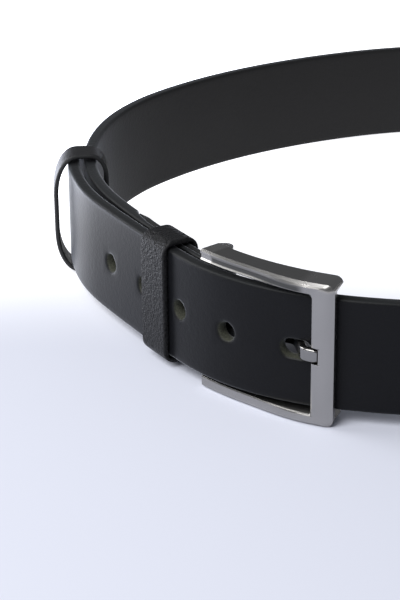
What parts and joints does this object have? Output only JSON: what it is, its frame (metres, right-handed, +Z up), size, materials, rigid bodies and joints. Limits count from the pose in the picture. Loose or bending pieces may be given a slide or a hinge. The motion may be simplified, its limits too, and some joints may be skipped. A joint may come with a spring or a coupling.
{
  "type": "leather belt",
  "caption": "Black leather dress belt buckled into a loop: punched strap, satin metal frame buckle with prong on a hinge pin, a fixed and a free leather keeper.",
  "frame": {"origin": "middle of the belt's plan box, at the height of the surface that it stands on", "axes": "+Z up across the strap's width, -Y to the front where the buckle is, +X to the right seen from the front"},
  "size_m": [0.3022, 0.318, 0.0506],
  "materials": {
    "strap_leather": "black smooth full-grain leather with a semi-matte finish and dark painted edges",
    "fixed_keeper_leather": "black pebble-grained leather, satin",
    "free_keeper_leather": "black fine-grained leather with a painted edge",
    "buckle_metal": "satin gunmetal plating on cast zinc alloy",
    "prong_metal": "polished gunmetal plating",
    "pin_metal": "drawn steel rod",
    "staple_wire": "plain steel wire",
    "post_metal": "gunmetal plated steel"
  },
  "bodies": {
    "strap_body": {"strap": "strap_leather", "fixed_keeper": "fixed_keeper_leather", "fixed_keeper_staple": "staple_wire", "screw_post_1": "post_metal", "screw_post_2": "post_metal", "screw_1": "post_metal", "screw_2": "post_metal"},
    "buckle": {"buckle_frame": "buckle_metal", "hinge_pin": "pin_metal"},
    "prong": {"prong": "prong_metal"},
    "free_keeper": {"free_keeper": "free_keeper_leather", "free_keeper_staple": "staple_wire"}
  },
  "joints": [
    {"name": "buckle_hinge", "type": "hinge", "parent": "strap_body", "child": "buckle", "pos_m": [-0.0275, -0.14524, 0], "axis": [0, 0, -1], "range_deg": [0, 0.6]},
    {"name": "prong_hinge", "type": "hinge", "parent": "buckle", "child": "prong", "pos_m": [-0.0275, -0.14524, 0], "axis": [0, 0, -1], "range_deg": [0, 0.7]},
    {"name": "free_keeper_slide", "type": "hinge", "parent": "strap_body", "child": "free_keeper", "pos_m": [-0.03106, -0.01513, 0], "axis": [0, 0, 1], "range_deg": [-38, 17]}
  ]
}
